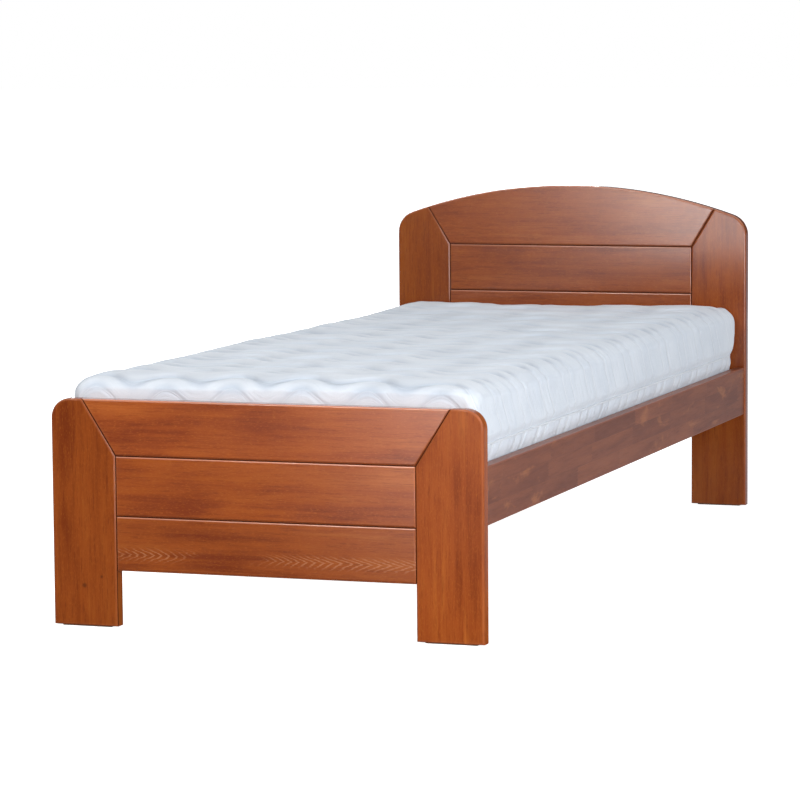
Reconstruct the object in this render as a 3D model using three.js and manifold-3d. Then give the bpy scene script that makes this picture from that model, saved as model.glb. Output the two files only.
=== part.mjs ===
// A single bed in stained beech for an 800 x 2000 mattress. The head and foot boards are mitred frames
// filled with tongued planks, the side rails hang on hook plates, a roll-out base of slats lies on
// ledger strips, and a foam mattress in a two-part zipped cover lies on the slats.
// Millimetres, +Z up, origin on the floor under the middle of the bed, +Y towards the headboard.
import * as THREE from "three";
import { mergeVertices } from "three/addons/utils/BufferGeometryUtils.js";
import Module from "manifold-3d";

const wasm = await Module();
wasm.setup();

// Whole bed
const BED_WIDTH = 872; // over the posts
const INNER_LENGTH = 2010; // between the two end boards
const GAP = 0.3; // clearance between pieces that touch

// End boards
const BOARD_THICKNESS = 29;
const POST_WIDTH = 133;
const CHAMFER = 3.5; // two of these make the V-groove between boards
const PAD_THICKNESS = 2;
const PAD_LENGTH = 104;
const PAD_WIDTH = 21;

const FOOT_HEIGHT = 440.5;
const FOOT_CORNER_RADIUS = 38;
const FOOT_MITRE_INSET = 64.5; // from the post's outer edge, along the top
const FOOT_RAIL_BOTTOM = 332;
const FOOT_PLANK_HEIGHTS = [116, 105.5]; // from the top rail down

const ARCH_TOP = 763.5;
const ARCH_RADIUS = 1220;
const HEAD_CORNER_RADIUS = 52;
const HEAD_MITRE_INSET = 77;
const HEAD_RAIL_BOTTOM = 618.5;
const HEAD_PLANK_HEIGHTS = [111.5, 111.5, 111.5, 111.5];

// Tongues and the grooves they sit in
const TONGUE_THICKNESS = 8;
const TONGUE_LENGTH = 8;
const GROOVE_DEPTH = TONGUE_LENGTH + 2 * GAP;

// Side rails
const SIDE_RAIL_THICKNESS = 25;
const SIDE_RAIL_HEIGHT = 111.5;
const SIDE_RAIL_BOTTOM = 220.5;
const SIDE_RAIL_INSET = 4; // behind the posts' outer edges
const SIDE_RAIL_EASING = 2.5;

// Hook fittings between rail and post
const PLATE_WIDTH = 16;
const PLATE_HEIGHT = 92;
const PLATE_THICKNESS = 2.5;
const HOOK_COUNT = 2;
const HOOK_SPACING = 42;
const HOOK_THICKNESS = 3;
const HOOK_NECK_HEIGHT = 10;
const HOOK_LIP_THICKNESS = 3;
const HOOK_LIP_DROP = 9; // how far the lip reaches below the neck
const SLOT_CLEARANCE = 0.8;
const SLOT_HEIGHT = HOOK_NECK_HEIGHT + HOOK_LIP_DROP + 3; // lets the whole hook in before it drops

// Ledger strips and their screws
const CLEAT_WIDTH = 25;
const CLEAT_HEIGHT = 30;
const CLEAT_LENGTH = 1960;
const CLEAT_TOP = 285;
const CLEAT_EASING = 1.5;
const SCREWS_PER_CLEAT = 5;
const SCREW_SPACING = 450;
const SCREW_RADIUS = 2;
const SCREW_HEAD_RADIUS = 4;
const SCREW_HEAD_RIM = 0.6;
const SCREW_LENGTH = 40;
const SCREW_POINT = 5;

// Slatted base
const SLAT_COUNT = 14;
const SLAT_LENGTH = 796; // across the bed
const SLAT_WIDTH = 85;
const SLAT_THICKNESS = 20;
const SLAT_EASING = 2.5;
const SLAT_BASE_LENGTH = 1990;
const STRAP_X = 240;
const STRAP_WIDTH = 24;
const STRAP_THICKNESS = 1.6;

// Mattress
const MATTRESS_WIDTH = 806; // the 800 size, with its quilting
const MATTRESS_LENGTH = 2004;
const MATTRESS_THICKNESS = 168;
const COVER_THICKNESS = 7;
const PLAN_CORNER_RADIUS = 38;
const TOP_EDGE_RADIUS = 32;
const BOTTOM_EDGE_RADIUS = 20;
const ZIP_HEIGHT = 56; // above the mattress's underside
const ZIP_WIDTH = 3;
const ZIP_TAPE_DEPTH = 5;

// Worked out from the values above
const HALF_WIDTH = BED_WIDTH / 2;
const BOARD_CENTRE_Y = INNER_LENGTH / 2 + BOARD_THICKNESS / 2;
const POST_INNER_X = HALF_WIDTH - POST_WIDTH;
const POST_CENTRE_X = HALF_WIDTH - POST_WIDTH / 2;
const POST_BOTTOM = PAD_THICKNESS + GAP / 2;
const SIDE_RAIL_OUTER_X = HALF_WIDTH - SIDE_RAIL_INSET;
const SIDE_RAIL_INNER_X = SIDE_RAIL_OUTER_X - SIDE_RAIL_THICKNESS;
const SIDE_RAIL_X = SIDE_RAIL_OUTER_X - SIDE_RAIL_THICKNESS / 2;
const SIDE_RAIL_Z = SIDE_RAIL_BOTTOM + SIDE_RAIL_HEIGHT / 2;
const SIDE_RAIL_LENGTH = INNER_LENGTH - 2 * GAP;
const CLEAT_OUTER_X = SIDE_RAIL_INNER_X - GAP;
const CLEAT_INNER_X = CLEAT_OUTER_X - CLEAT_WIDTH;
const CLEAT_Z = CLEAT_TOP - CLEAT_HEIGHT / 2;
const SLAT_BOTTOM = CLEAT_TOP + GAP;
const SLAT_TOP = SLAT_BOTTOM + SLAT_THICKNESS;
const STRAP_TOP = SLAT_TOP + GAP + STRAP_THICKNESS;
const MATTRESS_BOTTOM = STRAP_TOP + GAP;
const MATTRESS_TOP = MATTRESS_BOTTOM + MATTRESS_THICKNESS;

// Finishes
const stainedBeech = () => new THREE.MeshStandardMaterial({ color: 0x9a4a28, roughness: 0.38, metalness: 0 });
const railBeech = () => new THREE.MeshStandardMaterial({ color: 0x8a4a36, roughness: 0.42, metalness: 0 });
const plainSpruce = () => new THREE.MeshStandardMaterial({ color: 0xd8b98a, roughness: 0.7, metalness: 0 });
const zincSteel = () => new THREE.MeshStandardMaterial({ color: 0xb9bbbd, roughness: 0.35, metalness: 1 });
const greyFelt = () => new THREE.MeshStandardMaterial({ color: 0x5b5a58, roughness: 1, metalness: 0 });
const webbing = () => new THREE.MeshStandardMaterial({ color: 0xe6e1d6, roughness: 0.9, metalness: 0 });
const whiteKnit = () => new THREE.MeshStandardMaterial({ color: 0xeef1f4, roughness: 0.95, metalness: 0 });
const paleFoam = () => new THREE.MeshStandardMaterial({ color: 0xf2ead0, roughness: 0.95, metalness: 0 });
const zipTape = () => new THREE.MeshStandardMaterial({ color: 0xe4e8ec, roughness: 0.8, metalness: 0 });

// A closed three.js geometry as a solid that can be joined and cut.
function solid(geometry) {
  geometry.deleteAttribute("normal");
  geometry.deleteAttribute("uv");
  const merged = mergeVertices(geometry, 1e-4);
  const triVerts = new Uint32Array(merged.index.array);
  const vertProperties = merged.attributes.position.array;
  return new wasm.Manifold(new wasm.Mesh({ numProp: 3, vertProperties, triVerts }));
}

// A cut or joined solid as a geometry again.
function geometryOf(body) {
  const { vertProperties, triVerts } = body.getMesh();
  const geometry = new THREE.BufferGeometry();
  geometry.setAttribute("position", new THREE.BufferAttribute(vertProperties, 3));
  geometry.setIndex(new THREE.BufferAttribute(triVerts, 1));
  geometry.computeVertexNormals();
  return geometry;
}

// A named sub-part.
function piece(name, body, material) {
  const mesh = new THREE.Mesh(geometryOf(body), material);
  mesh.name = name;
  return mesh;
}

// A plain box between two corners.
function block([x0, y0, z0], [x1, y1, z1]) {
  const geometry = new THREE.BoxGeometry(x1 - x0, y1 - y0, z1 - z0);
  geometry.translate((x0 + x1) / 2, (y0 + y1) / 2, (z0 + z1) / 2);
  return solid(geometry);
}

// Points along an arc in XZ, both ends included.
function arc(cx, cz, radius, from, to, steps) {
  const points = [];
  for (let i = 0; i <= steps; i++) {
    const angle = from + ((to - from) * i) / steps;
    points.push(new THREE.Vector2(cx + radius * Math.cos(angle), cz + radius * Math.sin(angle)));
  }
  return points;
}

// A rectangle with rounded corners, centred on the origin.
function roundedRectangle(width, height, radius) {
  const x = width / 2 - radius;
  const y = height / 2 - radius;
  const outline = new THREE.Shape();
  outline.absarc(x, y, radius, 0, Math.PI / 2);
  outline.absarc(-x, y, radius, Math.PI / 2, Math.PI);
  outline.absarc(-x, -y, radius, Math.PI, 1.5 * Math.PI);
  outline.absarc(x, -y, radius, 1.5 * Math.PI, 2 * Math.PI);
  return outline;
}

// An outline in XZ cut from a board centred on y = 0, chamfered round both faces.
function board(points) {
  const geometry = new THREE.ExtrudeGeometry(new THREE.Shape(points), {
    depth: BOARD_THICKNESS - 2 * CHAMFER,
    bevelThickness: CHAMFER,
    bevelSize: CHAMFER,
    bevelOffset: -CHAMFER - GAP / 2,
    bevelSegments: 1,
  });
  geometry.rotateX(Math.PI / 2);
  geometry.translate(0, BOARD_THICKNESS / 2 - CHAMFER, 0);
  return solid(geometry);
}

// A bar along Y with eased edges: its section is a rounded rectangle in XZ.
function bar(width, height, length, easing) {
  const outline = roundedRectangle(width, height, easing);
  const geometry = new THREE.ExtrudeGeometry(outline, { depth: length, bevelEnabled: false, curveSegments: 3 });
  geometry.rotateX(Math.PI / 2);
  geometry.translate(0, length / 2, 0);
  return geometry;
}

// The right post of each board, as corners of its outline in XZ.
function footPostOutline() {
  const x = HALF_WIDTH - FOOT_CORNER_RADIUS;
  const z = FOOT_HEIGHT - FOOT_CORNER_RADIUS;
  return [
    new THREE.Vector2(POST_INNER_X, POST_BOTTOM),
    new THREE.Vector2(HALF_WIDTH, POST_BOTTOM),
    ...arc(x, z, FOOT_CORNER_RADIUS, 0, Math.PI / 2, 10),
    new THREE.Vector2(HALF_WIDTH - FOOT_MITRE_INSET, FOOT_HEIGHT),
    new THREE.Vector2(POST_INNER_X, FOOT_RAIL_BOTTOM),
  ];
}

// The arch's centre lies below the bed, and the corner arc touches both the arch and the post's side.
const ARCH_CENTRE_Z = ARCH_TOP - ARCH_RADIUS;
const MITRE_ANGLE = Math.acos((HALF_WIDTH - HEAD_MITRE_INSET) / ARCH_RADIUS);
const CORNER_ANGLE = Math.acos((HALF_WIDTH - HEAD_CORNER_RADIUS) / (ARCH_RADIUS - HEAD_CORNER_RADIUS));

function headPostOutline() {
  const x = HALF_WIDTH - HEAD_CORNER_RADIUS;
  const z = ARCH_CENTRE_Z + (ARCH_RADIUS - HEAD_CORNER_RADIUS) * Math.sin(CORNER_ANGLE);
  return [
    new THREE.Vector2(POST_INNER_X, POST_BOTTOM),
    new THREE.Vector2(HALF_WIDTH, POST_BOTTOM),
    ...arc(x, z, HEAD_CORNER_RADIUS, 0, CORNER_ANGLE, 10),
    ...arc(0, ARCH_CENTRE_Z, ARCH_RADIUS, CORNER_ANGLE, MITRE_ANGLE, 3).slice(1),
    new THREE.Vector2(POST_INNER_X, HEAD_RAIL_BOTTOM),
  ];
}

function footRailOutline() {
  const x = HALF_WIDTH - FOOT_MITRE_INSET;
  return [
    new THREE.Vector2(-POST_INNER_X, FOOT_RAIL_BOTTOM),
    new THREE.Vector2(POST_INNER_X, FOOT_RAIL_BOTTOM),
    new THREE.Vector2(x, FOOT_HEIGHT),
    new THREE.Vector2(-x, FOOT_HEIGHT),
  ];
}

function headRailOutline() {
  return [
    new THREE.Vector2(-POST_INNER_X, HEAD_RAIL_BOTTOM),
    new THREE.Vector2(POST_INNER_X, HEAD_RAIL_BOTTOM),
    ...arc(0, ARCH_CENTRE_Z, ARCH_RADIUS, MITRE_ANGLE, Math.PI - MITRE_ANGLE, 36),
  ];
}

// A plank with a tongue along its top and both ends, and a groove along its underside unless it is the last.
function plank(bottom, top, isLast) {
  const body = board([
    new THREE.Vector2(-POST_INNER_X, bottom),
    new THREE.Vector2(POST_INNER_X, bottom),
    new THREE.Vector2(POST_INNER_X, top),
    new THREE.Vector2(-POST_INNER_X, top),
  ]);
  const endX = POST_INNER_X + TONGUE_LENGTH;
  const half = TONGUE_THICKNESS / 2;
  const tongue = block([-endX, -half, bottom + GAP], [endX, half, top + TONGUE_LENGTH]);
  const whole = body.add(tongue);
  if (isLast) return whole;
  const grooveHalf = half + GAP;
  const groove = block([-endX - 1, -grooveHalf, bottom - 1], [endX + 1, grooveHalf, bottom + GROOVE_DEPTH]);
  return whole.subtract(groove);
}

// Heights of the hooks' necks, measured to the underside of each neck.
const HOOK_NECKS = [];
for (let i = 0; i < HOOK_COUNT; i++) {
  HOOK_NECKS.push(SIDE_RAIL_Z + (i - (HOOK_COUNT - 1) / 2) * HOOK_SPACING);
}

// The board's inner face is its +Y face, and the rail's end stands a gap away from it.
const INNER_FACE = BOARD_THICKNESS / 2;
const RAIL_END = INNER_FACE + GAP;
const PLATE_BOTTOM = SIDE_RAIL_Z - PLATE_HEIGHT / 2;
const PLATE_TOP = SIDE_RAIL_Z + PLATE_HEIGHT / 2;

// A slotted plate, let flush into the post.
function socketPlate() {
  const x0 = SIDE_RAIL_X - PLATE_WIDTH / 2;
  const x1 = SIDE_RAIL_X + PLATE_WIDTH / 2;
  let plate = block([x0, INNER_FACE - PLATE_THICKNESS, PLATE_BOTTOM], [x1, INNER_FACE, PLATE_TOP]);
  const half = HOOK_THICKNESS / 2 + SLOT_CLEARANCE;
  for (const neck of HOOK_NECKS) {
    const low = [SIDE_RAIL_X - half, INNER_FACE - PLATE_THICKNESS - 1, neck - GAP];
    const high = [SIDE_RAIL_X + half, INNER_FACE + 1, neck - GAP + SLOT_HEIGHT];
    plate = plate.subtract(block(low, high));
  }
  return plate;
}

// A plate with hooks whose lips drop behind the socket plate, let flush into the rail's end.
function hookPlate() {
  const x0 = SIDE_RAIL_X - PLATE_WIDTH / 2;
  const x1 = SIDE_RAIL_X + PLATE_WIDTH / 2;
  let plate = block([x0, RAIL_END, PLATE_BOTTOM], [x1, RAIL_END + PLATE_THICKNESS, PLATE_TOP]);
  const lipFront = INNER_FACE - PLATE_THICKNESS - GAP;
  const lipBack = lipFront - HOOK_LIP_THICKNESS;
  for (const neck of HOOK_NECKS) {
    const outline = new THREE.Shape([
      new THREE.Vector2(RAIL_END + PLATE_THICKNESS / 2, neck),
      new THREE.Vector2(RAIL_END + PLATE_THICKNESS / 2, neck + HOOK_NECK_HEIGHT),
      new THREE.Vector2(lipFront, neck + HOOK_NECK_HEIGHT),
      new THREE.Vector2(lipBack, neck + HOOK_NECK_HEIGHT - HOOK_LIP_THICKNESS),
      new THREE.Vector2(lipBack, neck - HOOK_LIP_DROP + HOOK_LIP_THICKNESS / 2),
      new THREE.Vector2(lipFront - HOOK_LIP_THICKNESS / 2, neck - HOOK_LIP_DROP),
      new THREE.Vector2(lipFront, neck - HOOK_LIP_DROP),
      new THREE.Vector2(lipFront, neck),
    ]);
    const geometry = new THREE.ExtrudeGeometry(outline, { depth: HOOK_THICKNESS, bevelEnabled: false });
    geometry.rotateX(Math.PI / 2);
    geometry.rotateZ(Math.PI / 2);
    geometry.translate(SIDE_RAIL_X - HOOK_THICKNESS / 2, 0, 0);
    plate = plate.add(solid(geometry));
  }
  return plate;
}

// What is milled out of a post's inner face for the socket plate and the hooks behind it.
function postPocket() {
  const half = PLATE_WIDTH / 2 + GAP;
  const depth = INNER_FACE - PLATE_THICKNESS - GAP;
  const seat = block(
    [SIDE_RAIL_X - half, depth, PLATE_BOTTOM - GAP],
    [SIDE_RAIL_X + half, INNER_FACE + 1, PLATE_TOP + GAP],
  );
  const hookHalf = HOOK_THICKNESS / 2 + 1;
  const deep = depth - HOOK_LIP_THICKNESS - 1;
  const cavity = block(
    [SIDE_RAIL_X - hookHalf, deep, PLATE_BOTTOM + 4],
    [SIDE_RAIL_X + hookHalf, depth + 1, PLATE_TOP - 4],
  );
  return seat.add(cavity);
}

// One end board in its own frame: inner face towards +Y, the board's middle at the group's origin.
function endBoard(spec) {
  const group = new THREE.Group();
  const panelBottom = spec.railBottom - spec.plankHeights.reduce((sum, height) => sum + height, 0);
  const slotX = POST_INNER_X + GROOVE_DEPTH;
  const slotHalf = TONGUE_THICKNESS / 2 + GAP;
  const slot = block([-slotX, -slotHalf, panelBottom], [slotX, slotHalf, spec.railBottom + GROOVE_DEPTH]);
  const post = board(spec.postOutline).subtract(slot).subtract(postPocket());
  const socket = socketPlate();
  for (const side of [1, -1]) {
    const name = side * spec.facing > 0 ? "right" : "left";
    const postMesh = piece(`${spec.name}_post_${name}`, post, stainedBeech());
    postMesh.scale.x = side;
    const socketMesh = piece(`socket_plate_${spec.name}_${name}`, socket, zincSteel());
    socketMesh.scale.x = side;
    const padGeometry = new THREE.ExtrudeGeometry(roundedRectangle(PAD_LENGTH, PAD_WIDTH, 5), {
      depth: PAD_THICKNESS,
      bevelEnabled: false,
      curveSegments: 5,
    });
    const pad = piece(`floor_pad_${spec.name}_${name}`, solid(padGeometry), greyFelt());
    pad.position.x = side * POST_CENTRE_X;
    group.add(postMesh, socketMesh, pad);
  }
  group.add(piece(`${spec.name}_top_rail`, board(spec.railOutline).subtract(slot), stainedBeech()));
  let top = spec.railBottom;
  spec.plankHeights.forEach((height, i) => {
    const isLast = i === spec.plankHeights.length - 1;
    group.add(piece(`${spec.name}_plank_${i + 1}`, plank(top - height, top, isLast), stainedBeech()));
    top -= height;
  });
  return group;
}

// A countersunk wood screw along +X, its head's face at a point. Grown by margin, it is its own hole.
function screw(margin, [x, y, z] = [0, 0, 0]) {
  const radius = SCREW_RADIUS + margin;
  const headRadius = SCREW_HEAD_RADIUS + margin;
  const neck = SCREW_HEAD_RIM + headRadius - radius;
  const profile = [
    new THREE.Vector2(0, -margin),
    new THREE.Vector2(headRadius, -margin),
    new THREE.Vector2(headRadius, SCREW_HEAD_RIM),
    new THREE.Vector2(radius, neck),
    new THREE.Vector2(radius, SCREW_LENGTH - SCREW_POINT),
    new THREE.Vector2(0, SCREW_LENGTH + margin),
  ];
  const geometry = new THREE.LatheGeometry(profile, 12);
  geometry.rotateZ(-Math.PI / 2);
  geometry.translate(x, y, z);
  return solid(geometry);
}

// Screws sit in a row along each ledger strip.
function screwPlaces() {
  const places = [];
  for (let i = 0; i < SCREWS_PER_CLEAT; i++) {
    places.push((i - (SCREWS_PER_CLEAT - 1) / 2) * SCREW_SPACING);
  }
  return places;
}

// A side rail, its ledger strip, screws and hook plates, for the right side. The left side mirrors it.
function sideRail(side) {
  const group = new THREE.Group();
  const name = side > 0 ? "right" : "left";
  const railGeometry = bar(SIDE_RAIL_THICKNESS, SIDE_RAIL_HEIGHT, SIDE_RAIL_LENGTH, SIDE_RAIL_EASING);
  railGeometry.translate(SIDE_RAIL_X, 0, SIDE_RAIL_Z);
  const cleatGeometry = bar(CLEAT_WIDTH, CLEAT_HEIGHT, CLEAT_LENGTH, CLEAT_EASING);
  cleatGeometry.translate(CLEAT_INNER_X + CLEAT_WIDTH / 2, 0, CLEAT_Z);
  let rail = solid(railGeometry);
  let cleat = solid(cleatGeometry);
  for (const y of screwPlaces()) {
    const hole = screw(GAP, [CLEAT_INNER_X, y, CLEAT_Z]);
    rail = rail.subtract(hole);
    cleat = cleat.subtract(hole);
  }
  const seatHalf = PLATE_WIDTH / 2 + GAP;
  for (const end of [1, -1]) {
    const endY = (end * SIDE_RAIL_LENGTH) / 2;
    const inside = endY - end * (PLATE_THICKNESS + GAP);
    const outside = endY + end;
    const seat = block(
      [SIDE_RAIL_X - seatHalf, Math.min(inside, outside), PLATE_BOTTOM - GAP],
      [SIDE_RAIL_X + seatHalf, Math.max(inside, outside), PLATE_TOP + GAP],
    );
    rail = rail.subtract(seat);
    const plate = piece(`hook_plate_${end > 0 ? "head" : "foot"}_${name}`, hookPlate(), zincSteel());
    plate.scale.y = -end;
    plate.position.y = end * BOARD_CENTRE_Y;
    group.add(plate);
  }
  group.add(piece(`side_rail_${name}`, rail, railBeech()));
  group.add(piece(`slat_cleat_${name}`, cleat, plainSpruce()));
  screwPlaces().forEach((y, i) => {
    const fastener = piece(`cleat_screw_${name}_${i + 1}`, screw(0), zincSteel());
    fastener.position.set(CLEAT_INNER_X, y, CLEAT_Z);
    group.add(fastener);
  });
  group.scale.x = side;
  return group;
}

// Slats across the bed and the two straps that join them into a roll.
function slatBase() {
  const group = new THREE.Group();
  const pitch = (SLAT_BASE_LENGTH - SLAT_WIDTH) / (SLAT_COUNT - 1);
  for (let i = 0; i < SLAT_COUNT; i++) {
    const geometry = bar(SLAT_WIDTH, SLAT_THICKNESS, SLAT_LENGTH, SLAT_EASING);
    geometry.rotateZ(Math.PI / 2);
    const slat = piece(`slat_${String(i + 1).padStart(2, "0")}`, solid(geometry), plainSpruce());
    slat.position.set(0, (SLAT_WIDTH - SLAT_BASE_LENGTH) / 2 + i * pitch, SLAT_BOTTOM + SLAT_THICKNESS / 2);
    group.add(slat);
  }
  for (const side of [1, -1]) {
    const low = [-STRAP_WIDTH / 2, -SLAT_BASE_LENGTH / 2 + 10, STRAP_TOP - STRAP_THICKNESS];
    const high = [STRAP_WIDTH / 2, SLAT_BASE_LENGTH / 2 - 10, STRAP_TOP];
    const strap = piece(`slat_strap_${side > 0 ? "right" : "left"}`, block(low, high), webbing());
    strap.position.x = side * STRAP_X;
    group.add(strap);
  }
  return group;
}

// A block with rounded corners in plan and one radius round its top and bottom edges.
function cushionBlock(inset, bottom, top, edgeRadius) {
  const width = MATTRESS_WIDTH - 2 * inset;
  const length = MATTRESS_LENGTH - 2 * inset;
  const radius = edgeRadius - inset;
  const outline = roundedRectangle(width, length, PLAN_CORNER_RADIUS - inset);
  const geometry = new THREE.ExtrudeGeometry(outline, {
    depth: top - bottom - 2 * radius,
    bevelThickness: radius,
    bevelSize: radius,
    bevelOffset: -radius,
    bevelSegments: 5,
    curveSegments: 7,
  });
  geometry.translate(0, 0, bottom + radius);
  return solid(geometry);
}

// The mattress's form drawn in by inset, with a wide radius along its top and a smaller one below.
function mattressForm(inset) {
  const bottom = MATTRESS_BOTTOM + inset;
  const top = MATTRESS_TOP - inset;
  const upper = cushionBlock(inset, bottom - MATTRESS_THICKNESS, top, TOP_EDGE_RADIUS);
  const lower = cushionBlock(inset, bottom, top + MATTRESS_THICKNESS, BOTTOM_EDGE_RADIUS);
  return upper.intersect(lower);
}

// The foam core, the two halves of its cover and the zip between them.
function mattress() {
  const group = new THREE.Group();
  const zipZ = MATTRESS_BOTTOM + ZIP_HEIGHT;
  const cover = mattressForm(0).subtract(mattressForm(COVER_THICKNESS - GAP));
  const reach = MATTRESS_LENGTH;
  const above = block([-reach, -reach, zipZ + ZIP_WIDTH / 2 + GAP], [reach, reach, zipZ + reach]);
  const below = block([-reach, -reach, zipZ - reach], [reach, reach, zipZ - ZIP_WIDTH / 2 - GAP]);
  const band = block([-reach, -reach, zipZ - ZIP_WIDTH / 2], [reach, reach, zipZ + ZIP_WIDTH / 2]);
  const zip = mattressForm(0).subtract(mattressForm(ZIP_TAPE_DEPTH)).intersect(band);
  group.add(piece("mattress_core", mattressForm(COVER_THICKNESS), paleFoam()));
  group.add(piece("mattress_cover_top", cover.intersect(above), whiteKnit()));
  group.add(piece("mattress_cover_bottom", cover.intersect(below), whiteKnit()));
  group.add(piece("mattress_zip", zip, zipTape()));
  return group;
}

const footboard = endBoard({
  name: "foot",
  facing: 1,
  railBottom: FOOT_RAIL_BOTTOM,
  plankHeights: FOOT_PLANK_HEIGHTS,
  postOutline: footPostOutline(),
  railOutline: footRailOutline(),
});
footboard.position.y = -BOARD_CENTRE_Y;

const headboard = endBoard({
  name: "head",
  facing: -1,
  railBottom: HEAD_RAIL_BOTTOM,
  plankHeights: HEAD_PLANK_HEIGHTS,
  postOutline: headPostOutline(),
  railOutline: headRailOutline(),
});
headboard.position.y = BOARD_CENTRE_Y;
headboard.rotation.z = Math.PI;

const bed = new THREE.Group();
bed.add(footboard, headboard, sideRail(1), sideRail(-1), slatBase(), mattress());

export default bed;
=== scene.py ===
import math

import bmesh
import bpy
import numpy as np
from mathutils import Matrix, Vector


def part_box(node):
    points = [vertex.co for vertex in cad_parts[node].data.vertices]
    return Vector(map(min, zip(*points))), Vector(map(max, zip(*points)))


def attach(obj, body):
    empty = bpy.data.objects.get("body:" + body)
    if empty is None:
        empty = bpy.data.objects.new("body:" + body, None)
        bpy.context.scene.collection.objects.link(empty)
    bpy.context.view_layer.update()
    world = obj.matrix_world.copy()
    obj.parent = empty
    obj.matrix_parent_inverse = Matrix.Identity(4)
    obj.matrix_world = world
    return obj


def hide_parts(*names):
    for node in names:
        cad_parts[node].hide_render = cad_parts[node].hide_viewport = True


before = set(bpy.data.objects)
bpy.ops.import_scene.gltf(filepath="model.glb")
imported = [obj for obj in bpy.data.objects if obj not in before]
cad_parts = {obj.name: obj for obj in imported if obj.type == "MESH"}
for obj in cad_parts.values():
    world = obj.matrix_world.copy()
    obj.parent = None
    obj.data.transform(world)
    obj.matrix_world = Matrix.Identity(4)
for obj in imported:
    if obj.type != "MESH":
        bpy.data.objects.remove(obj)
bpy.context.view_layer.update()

# The studio: a long lens set low off the foot end's right corner, in a white room. The lacquer mirrors a room
# that is dark but for a bright ceiling and a pale gleam on the floor, away to the right and in front.
CAMERA_PLACE = Vector((2.42995, -7.23225, 1.13356))
CAMERA_TURN, CAMERA_DIP, CAMERA_ROLL = 19.179, 5.901, -0.448
camera_data = bpy.data.cameras.new("camera")
camera_data.sensor_width = 36
camera_data.lens = 160.19
camera_data.clip_end = 500
camera = bpy.data.objects.new("camera", camera_data)
camera.matrix_world = (
    Matrix.Translation(CAMERA_PLACE)
    @ Matrix.Rotation(math.radians(CAMERA_TURN), 4, "Z")
    @ Matrix.Rotation(math.radians(90 - CAMERA_DIP), 4, "X")
    @ Matrix.Rotation(math.radians(CAMERA_ROLL), 4, "Z")
)
bpy.context.scene.collection.objects.link(camera)
bpy.context.scene.camera = camera
bpy.context.scene.view_settings.view_transform = "Standard"


class Wire:
    """One socket of a node tree. Sums on it add Math nodes."""

    def __init__(self, nodes, socket):
        self.nodes = nodes
        self.socket = socket

    def maths(self, operation, *values):
        return self.nodes.add("ShaderNodeMath", {"operation": operation}, dict(enumerate(values)))

    def __add__(self, other):
        return self.maths("ADD", self, other)

    __radd__ = __add__

    def __sub__(self, other):
        return self.maths("SUBTRACT", self, other)

    def __rsub__(self, other):
        return self.maths("SUBTRACT", other, self)

    def __mul__(self, other):
        return self.maths("MULTIPLY", self, other)

    __rmul__ = __mul__

    def __truediv__(self, other):
        return self.maths("DIVIDE", self, other)


class Nodes:
    """A node tree that nodes are added to one by one."""

    def __init__(self, tree):
        self.tree = tree

    def join(self, value, socket):
        if isinstance(value, Wire):
            self.tree.links.new(value.socket, socket)
        else:
            socket.default_value = value

    def add(self, kind, settings=None, inputs=None, output=0):
        node = self.tree.nodes.new(kind)
        for name, value in (settings or {}).items():
            setattr(node, name, value)
        for name, value in (inputs or {}).items():
            self.join(value, node.inputs[name])
        return Wire(self, node.outputs[output])

    def mix(self, factor, first, second):
        """A colour between two others."""
        return self.add("ShaderNodeMix", {"data_type": "RGBA"}, {0: factor, 6: first, 7: second}, 2)

    def between(self, value, low, high):
        """0 below low, 1 above high, and a smooth step from one to the other."""
        settings = {"interpolation_type": "SMOOTHSTEP"}
        return self.add("ShaderNodeMapRange", settings, {0: value, 1: low, 2: high})

    def noise(self, place, scale, detail=2.0, roughness=0.5, distortion=0.0):
        inputs = {"Vector": place, "Scale": scale, "Detail": detail, "Roughness": roughness}
        return self.add("ShaderNodeTexNoise", {}, {**inputs, "Distortion": distortion})

    def split(self, place):
        """The three coordinates of a point."""
        node = self.add("ShaderNodeSeparateXYZ", {}, {0: place}).socket.node
        return [Wire(self, socket) for socket in node.outputs]

    def scaled(self, place, x, y, z):
        return self.add("ShaderNodeVectorMath", {"operation": "MULTIPLY"}, {0: place, 1: (x, y, z)})


class Finish(Nodes):
    """A material of this bed: constants go on its shader, patterns are joined to it."""

    def __init__(self, name, **constants):
        self.material = bpy.data.materials.new(name)
        self.material.use_nodes = True
        super().__init__(self.material.node_tree)
        self.shader = self.tree.nodes["Principled BSDF"]
        for socket, value in constants.items():
            self.set(socket.replace("_", " "), value)

    def set(self, name, value):
        self.join(value, self.shader.inputs[name])

    def place(self, shift=(0, 0, 0), turn=(0, 0, 0)):
        """A point of the piece in its own coordinates, moved and turned to lie along its pattern."""
        here = self.add("ShaderNodeTexCoord", output=3)
        return self.add("ShaderNodeMapping", {}, {"Vector": here, "Location": shift, "Rotation": turn})

    def relief(self, height, distance, strength=1.0):
        inputs = {"Height": height, "Distance": distance, "Strength": strength}
        self.set("Normal", self.add("ShaderNodeBump", {}, inputs))


def lamp(name, place, aim, size, power, colour):
    """A soft square lamp that shines on a point."""
    light = bpy.data.lights.new(name, "AREA")
    light.shape = "SQUARE"
    light.size = size
    light.energy = power
    light.color = colour
    lamp_object = bpy.data.objects.new(name, light)
    direction = Vector(aim) - Vector(place)
    turn = direction.to_track_quat("-Z", "Y").to_matrix().to_4x4()
    lamp_object.matrix_world = Matrix.Translation(place) @ turn
    lamp_object.visible_camera = False
    bpy.context.scene.collection.objects.link(lamp_object)


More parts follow.
